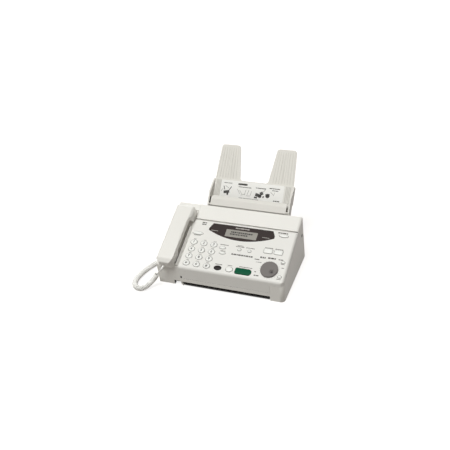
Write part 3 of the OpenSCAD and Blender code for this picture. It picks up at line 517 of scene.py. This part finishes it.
# ---------- jog dial ----------
# A grey ABS wheel with a fine moulded grain. A finger turns it by a darker dimple near its rim,
# which is dished in three steps.
dial_grey = plastic("dial_grey", (0.175, 0.162, 0.153), roughness=0.42, grain=0.5, tint=0.01,
                    gloss=0.25)
dress("jog_dial", dial_grey, 0.7 * mm, segments=3)
dimple_dark = plastic("dimple_dark", (0.035, 0.030, 0.028), roughness=0.3, grain=0.1, coat=0.2,
                      tint=0.004)
dimple_across, dimple_along, dimple_height = 8.5, -6.5, 3.1
dimple_radius, dimple_wall = 5.0, 0.3
dish_steps = [(0.9, 0.62), (1.1, 0.45), (1.3, 0.25)]
dimple = bmesh.new()
bmesh.ops.create_circle(dimple, cap_ends=True, segments=32, radius=dimple_radius * mm)
dish = dimple.faces[:][0]
for inset, drop in dish_steps:
    bmesh.ops.inset_region(dimple, faces=[dish], thickness=inset * mm, use_even_offset=True)
    bmesh.ops.translate(dimple, verts=dish.verts[:], vec=(0, 0, -drop * mm))
bmesh.ops.solidify(dimple, geom=dimple.faces[:], thickness=dimple_wall * mm)
bmesh.ops.recalc_face_normals(dimple, faces=dimple.faces[:])
bmesh.ops.transform(dimple, verts=dimple.verts,
                    matrix=on_panel(dial_centre[0] + dimple_across, dial_centre[1] + dimple_along,
                                    dimple_height))
finished("dial_dimple", dimple, "dial", dimple_dark, smooth=60)

# ---------- paper tray print ----------
# Loading hints are pad-printed on the tray's plate: plain sheets, rollers and arrows that name
# nothing, with rows of short dashes and one solid bar.
tray_lean = math.radians(42)
tray_foot = from_desk((21.5, 213.08, 127.43))
tray_face = Matrix.Translation(tray_foot) @ Matrix.Rotation(math.pi / 2 - tray_lean, 4, "X")


def on_tray(u, v, n=0.0):
    """Places a mesh across the tray, up its lean and in front of its plate, in millimetres."""
    return tray_face @ Matrix.Translation(Vector((u, v, n)) * mm)


def block(shape, size, place):
    """Adds a box of a size in millimetres on a place, and returns its corners."""
    corners = bmesh.ops.create_cube(shape, size=mm)["verts"]
    bmesh.ops.scale(shape, vec=size, verts=corners)
    bmesh.ops.transform(shape, matrix=place, verts=corners)
    return corners


label_white = plastic("label_white", (0.86, 0.85, 0.82), roughness=0.5, grain=0.1)
label_u, label_v, label_w, label_h = -2, 51, 186, 49
label_shoulder, label_thick = 0.12, 0.2
label = crowned(outline(label_w, label_h, (3, 3)), 0.0, label_shoulder, label_thick, [(0.3, 1.0)])
bmesh.ops.transform(label, matrix=on_tray(label_u, label_v), verts=label.verts)
finished("tray_label", label, "tray", label_white)

edge_rib_w, edge_rib_l, edge_rib_h = 1.8, 47, 0.5
edge_rib_count, edge_rib_pitch, first_edge_rib_u = 4, 3.9, 96.6
edge_ribs = bmesh.new()
for side in (-1, 1):
    for i in range(edge_rib_count):
        rib_u = side * (first_edge_rib_u + edge_rib_pitch * i)
        block(edge_ribs, (edge_rib_w, edge_rib_l, edge_rib_h),
              on_tray(rib_u, label_v, edge_rib_h / 2))
# The edge ribs are coloured darker than the tray as painted shade.
rib_painted_shade = plastic("rib_painted_shade", (0.53, 0.515, 0.475))
finished("tray_edge_ribs", edge_ribs, "tray", rib_painted_shade)

# across, up, width, height and turn of each bar; across, up and radius of each spot; across, up,
# length, height and number of dashes of each line
dark_bars = [(-30, 67.5, 27, 5.2, 1), (-76, 42, 17, 8, 12), (-66, 52, 2, 14, -28),
             (-84, 53, 2, 11, 20), (18, 42, 16, 9, -14), (28, 48, 9, 9, 30), (12, 35, 9, 5, 0),
             (46, 45, 12, 7, 10), (34, 39, 5, 4, 45)]
dark_spots = [(24, 40, 5), (46, 43, 6), (-72, 36, 3)]
dark_lines = [(-74, 67.5, 24, 1.6, 4), (-23, 60, 38, 1.8, 6), (24, 62, 30, 2.2, 4),
              (64, 65, 30, 2.4, 4), (66, 59.5, 18, 1.8, 3), (-8, 29, 58, 1.4, 9),
              (73, 31, 18, 2.6, 3)]
dark_print = bmesh.new()
for u, v, width, height, turn in dark_bars:
    bar(dark_print, u, v, width, height, math.radians(turn))
for u, v, radius in dark_spots:
    bmesh.ops.create_circle(dark_print, cap_ends=True, segments=20, radius=radius * mm,
                            matrix=Matrix.Translation(Vector((u, v, 0)) * mm))
for u, v, length, height, words in dark_lines:
    dashes(dark_print, u, v, length, height, words)
tray_ink = plastic("tray_ink", (0.055, 0.052, 0.048), roughness=0.6, grain=0.1, tint=0.004)
printed("tray_print_dark", dark_print, "tray", tray_ink, on_tray(0, 0, label_thick))

# across, up, width, height and turn of each stroke
pale_strokes = [(-40, 47, 15, 1, -55), (-33, 45, 15, 1, -55), (-20, 46, 16, 1, 80),
                (-12, 46, 16, 1, 75), (-3, 45, 12, 1, 80), (-26, 39, 14, 1, 20),
                (-10, 37, 13, 1, 5), (35, 56, 10, 1.2, 50), (57, 52, 9, 1.2, -40),
                (-75, 56, 14, 1, -30), (-90, 46, 10, 1, 60), (64, 50, 10, 1, 70)]
pale_print = bmesh.new()
for u, v, width, height, turn in pale_strokes:
    bar(pale_print, u, v, width, height, math.radians(turn))
grey_ink = plastic("grey_ink", (0.27, 0.26, 0.24), roughness=0.6, grain=0.1)
printed("tray_print_pale", pale_print, "tray", grey_ink, on_tray(0, 0, label_thick))

# A web joins the tray's ears under the tension plate and closes the gap above the cover.
ear_to_ear = 230.4
web_depth, web_thick, web_front_thick, web_front_height = 7.6, 1, 0.4, 4.2
leaning = Matrix.Rotation(tray_lean, 4, "X")
foot_web = bmesh.new()
block(foot_web, (ear_to_ear, web_depth, web_thick), on_tray(0, -5.4, 14.65) @ leaning)
block(foot_web, (ear_to_ear, web_front_thick, web_front_height), on_tray(0, -3.15, 18.6))
finished("tray_foot_web", foot_web, "tray", tray_beige)

# ---------- sheet support ----------
# Two tapered arms in a lighter plastic slide up behind the tray. Fine ribs run up their faces so
# that the sheets lie off the surface.
rib_w, rib_h, rib_n, rib_round = 1.6, 0.7, -2.87, 0.3
rib_count, outer_rib_bottom_u, outer_rib_top_u = 8, 112, 106.5
rib_pitch_bottom, rib_pitch_top = 8.2, 6.6
arm_bottom_v, arm_top_v = 80, 170
arm_length, arm_middle_v = arm_top_v - arm_bottom_v, (arm_top_v + arm_bottom_v) / 2
support_grey = plastic("support_plastic", (0.755, 0.735, 0.685), roughness=0.5)
dress("paper_support", support_grey, 0.5 * mm)
ribs = bmesh.new()
for side in (-1, 1):
    for i in range(rib_count):
        bottom_u = side * (outer_rib_bottom_u - rib_pitch_bottom * i)
        top_u = side * (outer_rib_top_u - rib_pitch_top * i)
        rib = block(ribs, (rib_w, arm_length, rib_h),
                    Matrix.Translation(Vector((bottom_u, arm_middle_v, rib_n)) * mm))
        lean_over = (top_u - bottom_u) / arm_length
        for v in rib:
            v.co.x += (v.co.y - arm_bottom_v * mm) * lean_over
bmesh.ops.bevel(ribs, geom=ribs.edges[:], offset=rib_round * mm, offset_type="OFFSET",
                affect="EDGES", segments=2, profile=0.5, material=-1)
bmesh.ops.transform(ribs, matrix=on_tray(0, 0), verts=ribs.verts)
# The ribs are a darker copy of the arms' plastic, as painted shade.
rib_shade_grey = plastic("support_rib", (0.66, 0.64, 0.59), roughness=0.5)
finished("support_ribs", ribs, "support", rib_shade_grey)

# A fillet fills the corner where each arm leaves the cross bar.
fillet_r, fillet_steps, arm_front_n, arm_thick = 11, 8, -2.7, 2.2
corner_u, corner_v = 42.5, 77
into_arm, into_bar, inside_faces = 1.5, 3, 0.05
for side, hand in ((-1, "left"), (1, "right")):
    fillet = bmesh.new()
    rim = [(corner_u + into_arm, corner_v - into_bar), (corner_u + into_arm, corner_v + fillet_r)]
    for i in range(fillet_steps + 1):
        turn = math.radians(-90 * i / fillet_steps)
        rim.append((corner_u - fillet_r + fillet_r * math.cos(turn),
                    corner_v + fillet_r + fillet_r * math.sin(turn)))
    rim.append((corner_u - fillet_r, corner_v - into_bar))
    face = fillet.faces.new([fillet.verts.new((side * u * mm, v * mm, 0)) for u, v in rim])
    raise_face(fillet, [face], (arm_thick - 2 * inside_faces) * mm)
    bmesh.ops.recalc_face_normals(fillet, faces=fillet.faces[:])
    bmesh.ops.transform(fillet, verts=fillet.verts,
                        matrix=on_tray(0, 0, arm_front_n - arm_thick + inside_faces))
    finished("arm_fillet_" + hand, fillet, "support", support_grey)

# ---------- tray slots ----------
# Black sheets in the two slots beside the tension plate, where it swings between the tray's ears,
# are painted shade of the slots.
# This black is the real black of the pins, sensor and socket block, and painted shade in slots and
# gaps.
black_and_painted_shade = plastic("black_and_painted_shade", (0.022, 0.020, 0.019), roughness=0.5, grain=0.3, tint=0.004)
slot_length, slot_middle_v = 23, 10.5
# width, depth, across and in front of the tray's plate, of the sheet at the back and at the side
slot_shade_walls = [(4.6, 0.3, 113.1, 0.35), (0.3, 17, 115.25, 8.7)]
slot_shade_sheets = bmesh.new()
for side in (-1, 1):
    for width, depth, u, n in slot_shade_walls:
        block(slot_shade_sheets, (width, slot_length, depth), on_tray(side * u, slot_middle_v, n))
finished("tray_slot_shade", slot_shade_sheets, "tray", black_and_painted_shade)

# ---------- paper exit ----------
# A black comb carries the sheets out under the panel. The black throat behind it is painted shade
# of the casing's inside.
exit_black_and_shade = plastic("exit_black_and_shade", (0.016, 0.014, 0.013), roughness=0.5, grain=0.3, tint=0.004)
dress("exit_guide", exit_black_and_shade, 0.3 * mm)
exit_left, exit_right = -107, 139.5
exit_middle = (exit_left + exit_right) / 2
# depth, height, behind the front face and above the desk, of the throat's roof and its back
throat_walls = [(22, 0.8, 14.5, 15.6), (0.8, 8, 26, 11.8)]


def at_desk(x, y, z):
    """Places a mesh across, behind the casing's front face and above the desk, in millimetres."""
    return Matrix.Translation(from_desk((x, y, z)))


throat_shade = bmesh.new()
for depth, height, y, z in throat_walls:
    block(throat_shade, (exit_right - exit_left, depth, height), at_desk(exit_middle, y, z))
finished("exit_throat_shade", throat_shade, "base", exit_black_and_shade)

# ---------- inner works and fittings ----------
# Zinc-plated frame and motor, solder-masked boards, rubber rollers, film on its cores, black
# capsules and the blackened pins that carry the panel and the cover.
marks_scale, metal_drift = 30, 0.08


def metal(name, colour, roughness, brushed=(1, 40, 1)):
    """Plated or milled metal with fine marks drawn out along one direction."""
    material, tree, shader, places = surface(name)
    stretch = tree.nodes.new("ShaderNodeMapping")
    stretch.inputs["Scale"].default_value = brushed
    marks = tree.nodes.new("ShaderNodeTexNoise")
    marks.inputs["Scale"].default_value = marks_scale
    sheen = tree.nodes.new("ShaderNodeMapRange")
    sheen.inputs["To Min"].default_value = roughness - metal_drift
    sheen.inputs["To Max"].default_value = roughness + metal_drift
    tree.links.new(places, stretch.inputs["Vector"])
    tree.links.new(stretch.outputs["Vector"], marks.inputs["Vector"])
    tree.links.new(marks.outputs["Fac"], sheen.inputs["Value"])
    tree.links.new(sheen.outputs["Result"], shader.inputs["Roughness"])
    shader.inputs["Base Color"].default_value = (*colour, 1)
    shader.inputs["Metallic"].default_value = 1
    return material


zinc = metal("zinc_plate", (0.62, 0.63, 0.65), 0.38)
alloy = metal("head_alloy", (0.66, 0.66, 0.67), 0.3, (40, 1, 1))
board_green = plastic("board_green", (0.02, 0.13, 0.05), roughness=0.3, grain=0.3, tint=0.01,
                      coat=0.3)
roller_rubber = plastic("roller_rubber", (0.03, 0.03, 0.032), roughness=0.75, grain=0.8, tint=0.004)
film_black = plastic("carbon_film", (0.025, 0.02, 0.03), roughness=0.2, grain=0.05, tint=0.004,
                     coat=0.3)
foot_rubber = plastic("foot_rubber", (0.035, 0.033, 0.03), roughness=0.8, grain=0.8, tint=0.004)
capsule_black = plastic("capsule_black", (0.03, 0.03, 0.03), roughness=0.6, grain=0.3, tint=0.004)
hook_white = plastic("hook_white", (0.72, 0.69, 0.64), roughness=0.35, grain=0.1)
fittings = {
    "roller_frame": zinc, "drive_motor": zinc, "case_screws": zinc, "thermal_head": alloy,
    "main_board": board_green, "power_board": board_green, "panel_board": board_green,
    "platen_roller": roller_rubber, "document_roller": roller_rubber,
    "pickup_roller": roller_rubber, "film_supply": film_black, "film_takeup": film_black,
    "rubber_feet": foot_rubber, "speaker": capsule_black, "capsules": capsule_black,
    "hinge_pins": black_and_painted_shade, "image_sensor": black_and_painted_shade, "socket_block": black_and_painted_shade,
    "hook_plunger": hook_white, "display_module": screen_grey,
}
for node, finish in fittings.items():
    dress(node, finish)

# ---------- seam and gaps ----------
# A white lip under the seam keeps dust out between the panel and the cover. Black strips are
# painted shade in the vent slit, the pocket under the cradle's corner and the gap under the panel's
# apron, and a painted shadow beside the grip; a flat black disc is painted shade round the end of
# the cover's pin.
seam_s, seam_left, seam_right = 160.08, -113, 174
lip_thick, lip_height, lip_n = 0.5, 4, -2.4
lip = bmesh.new()
block(lip, (seam_right - seam_left, lip_thick, lip_height),
      on_panel((seam_left + seam_right) / 2, seam_s, lip_n))
finished("cover_seam_lip", lip, "cover", casing_white)

# A black block on the casing's front is painted shade of a vent slit.
slit_size, slit_edge = (4.4, 0.6, 7.5), 0.1
slit = bmesh.new()
block(slit, slit_size, at_desk(-110.2, 0.2, 31.4))
bmesh.ops.bevel(slit, geom=slit.edges[:], offset=slit_edge * mm, offset_type="OFFSET",
                affect="EDGES", segments=1, profile=0.5, material=-1)
finished("vent_slit_shade", slit, "panel", black_and_painted_shade)

# Each strip is black: painted shade in a gap or pocket, and beside the grip a painted shadow.
# name, body, size and place of each strip
dark_strips = [
    ("corner_pocket", "base", (0.5, 10, 14), at_desk(-133.6, 6, 8)),
    ("apron_shadow_gap", "panel", (242, 0.5, 1.1), at_desk(16, 0.35, 27.15)),
    ("cradle_rest_strip", "base", (1.4, 122, 0.3), on_panel(-120.45, 64.5, 9.1)),
]
for name, body, size, place in dark_strips:
    strip = bmesh.new()
    block(strip, size, place)
    finished(name, strip, body, black_and_painted_shade)

# A flat black disc is painted shade of a recess round the end of the cover's pin.
recess_radius, recess_depth = 3.2 * mm, 0.2 * mm
along_pin = Matrix.Rotation(math.pi / 2, 4, "Y")
pin_recess_shade = bmesh.new()
bmesh.ops.create_cone(pin_recess_shade, cap_ends=True, segments=28, radius1=recess_radius,
                      radius2=recess_radius, depth=recess_depth,
                      matrix=at_desk(179.95, 182, 85) @ along_pin)
finished("pin_recess_shade", pin_recess_shade, "base", black_and_painted_shade)

# ---------- studio ----------
# A plain white floor under an even sky, with one broad light from above the user's left shoulder.
# A weak one from behind lifts the rear faces alone.
floor_size = 6
floor_mesh = bpy.data.meshes.new("floor")
floor = bpy.data.objects.new("floor", floor_mesh)
bpy.context.scene.collection.objects.link(floor)
plane = bmesh.new()
bmesh.ops.create_grid(plane, x_segments=1, y_segments=1, size=floor_size)
plane.to_mesh(floor_mesh)
plane.free()


def white_behind(tree, shader_socket, target, glow=1.0):
    """Shows white to the camera and to mirror and glass rays, and the given shader to the rest.

    With a glow under 1 the shader is added to the white, so that a shadow on it still shows.
    """
    path = tree.nodes.new("ShaderNodeLightPath")
    direct = tree.nodes.new("ShaderNodeMath")
    direct.operation = "MAXIMUM"
    seen = tree.nodes.new("ShaderNodeMath")
    seen.operation = "MAXIMUM"
    on_world = target.node.type == "OUTPUT_WORLD"
    white = tree.nodes.new("ShaderNodeBackground" if on_world else "ShaderNodeEmission")
    white.inputs["Color"].default_value = (1, 1, 1, 1)
    white.inputs["Strength"].default_value = glow
    mix = tree.nodes.new("ShaderNodeMixShader")
    tree.links.new(path.outputs["Is Camera Ray"], direct.inputs[0])
    tree.links.new(path.outputs["Is Glossy Ray"], direct.inputs[1])
    tree.links.new(direct.outputs[0], seen.inputs[0])
    tree.links.new(path.outputs["Is Transmission Ray"], seen.inputs[1])
    tree.links.new(seen.outputs[0], mix.inputs["Fac"])
    tree.links.new(shader_socket, mix.inputs[1])
    tree.links.new(white.outputs[0], mix.inputs[2])
    if glow < 1:
        both = tree.nodes.new("ShaderNodeAddShader")
        tree.links.new(white.outputs[0], both.inputs[0])
        tree.links.new(shader_socket, both.inputs[1])
        tree.links.new(both.outputs[0], mix.inputs[2])
    tree.links.new(mix.outputs[0], target)


floor_white = bpy.data.materials.new("floor_white")
floor_white.use_nodes = True
floor_tree = floor_white.node_tree
floor_shader = floor_tree.nodes["Principled BSDF"]
floor_shader.inputs["Base Color"].default_value = (0.34, 0.32, 0.30, 1)
floor_shader.inputs["Specular IOR Level"].default_value = 0
white_behind(floor_tree, floor_shader.outputs[0],
             floor_tree.nodes["Material Output"].inputs["Surface"], glow=0.8)
floor_mesh.materials.append(floor_white)

world = bpy.data.worlds.new("studio")
bpy.context.scene.world = world
world.use_nodes = True
sky = world.node_tree.nodes["Background"]
sky.inputs["Color"].default_value = (1, 0.95, 0.91, 1)
sky.inputs["Strength"].default_value = 0.20
white_behind(world.node_tree, sky.outputs[0],
             world.node_tree.nodes["World Output"].inputs["Surface"])

# name, strength, colour, breadth in degrees and direction of each light
suns = [
    ("key_light", 2.5, (0.985, 1.0, 0.985), 28, (0.10, 0.30, -0.949)),
    ("fill_light", 0.6, (1, 1, 1), 40, (0.12, -0.98, -0.15)),
]
for name, strength, colour, breadth, direction in suns:
    lamp = bpy.data.lights.new(name, "SUN")
    lamp.energy = strength
    lamp.color = colour
    lamp.angle = math.radians(breadth)
    light = bpy.data.objects.new(name, lamp)
    light.rotation_mode = "QUATERNION"
    light.rotation_quaternion = Vector(direction).to_track_quat("-Z", "Y")
    bpy.context.scene.collection.objects.link(light)

bpy.context.scene.view_settings.view_transform = "Standard"
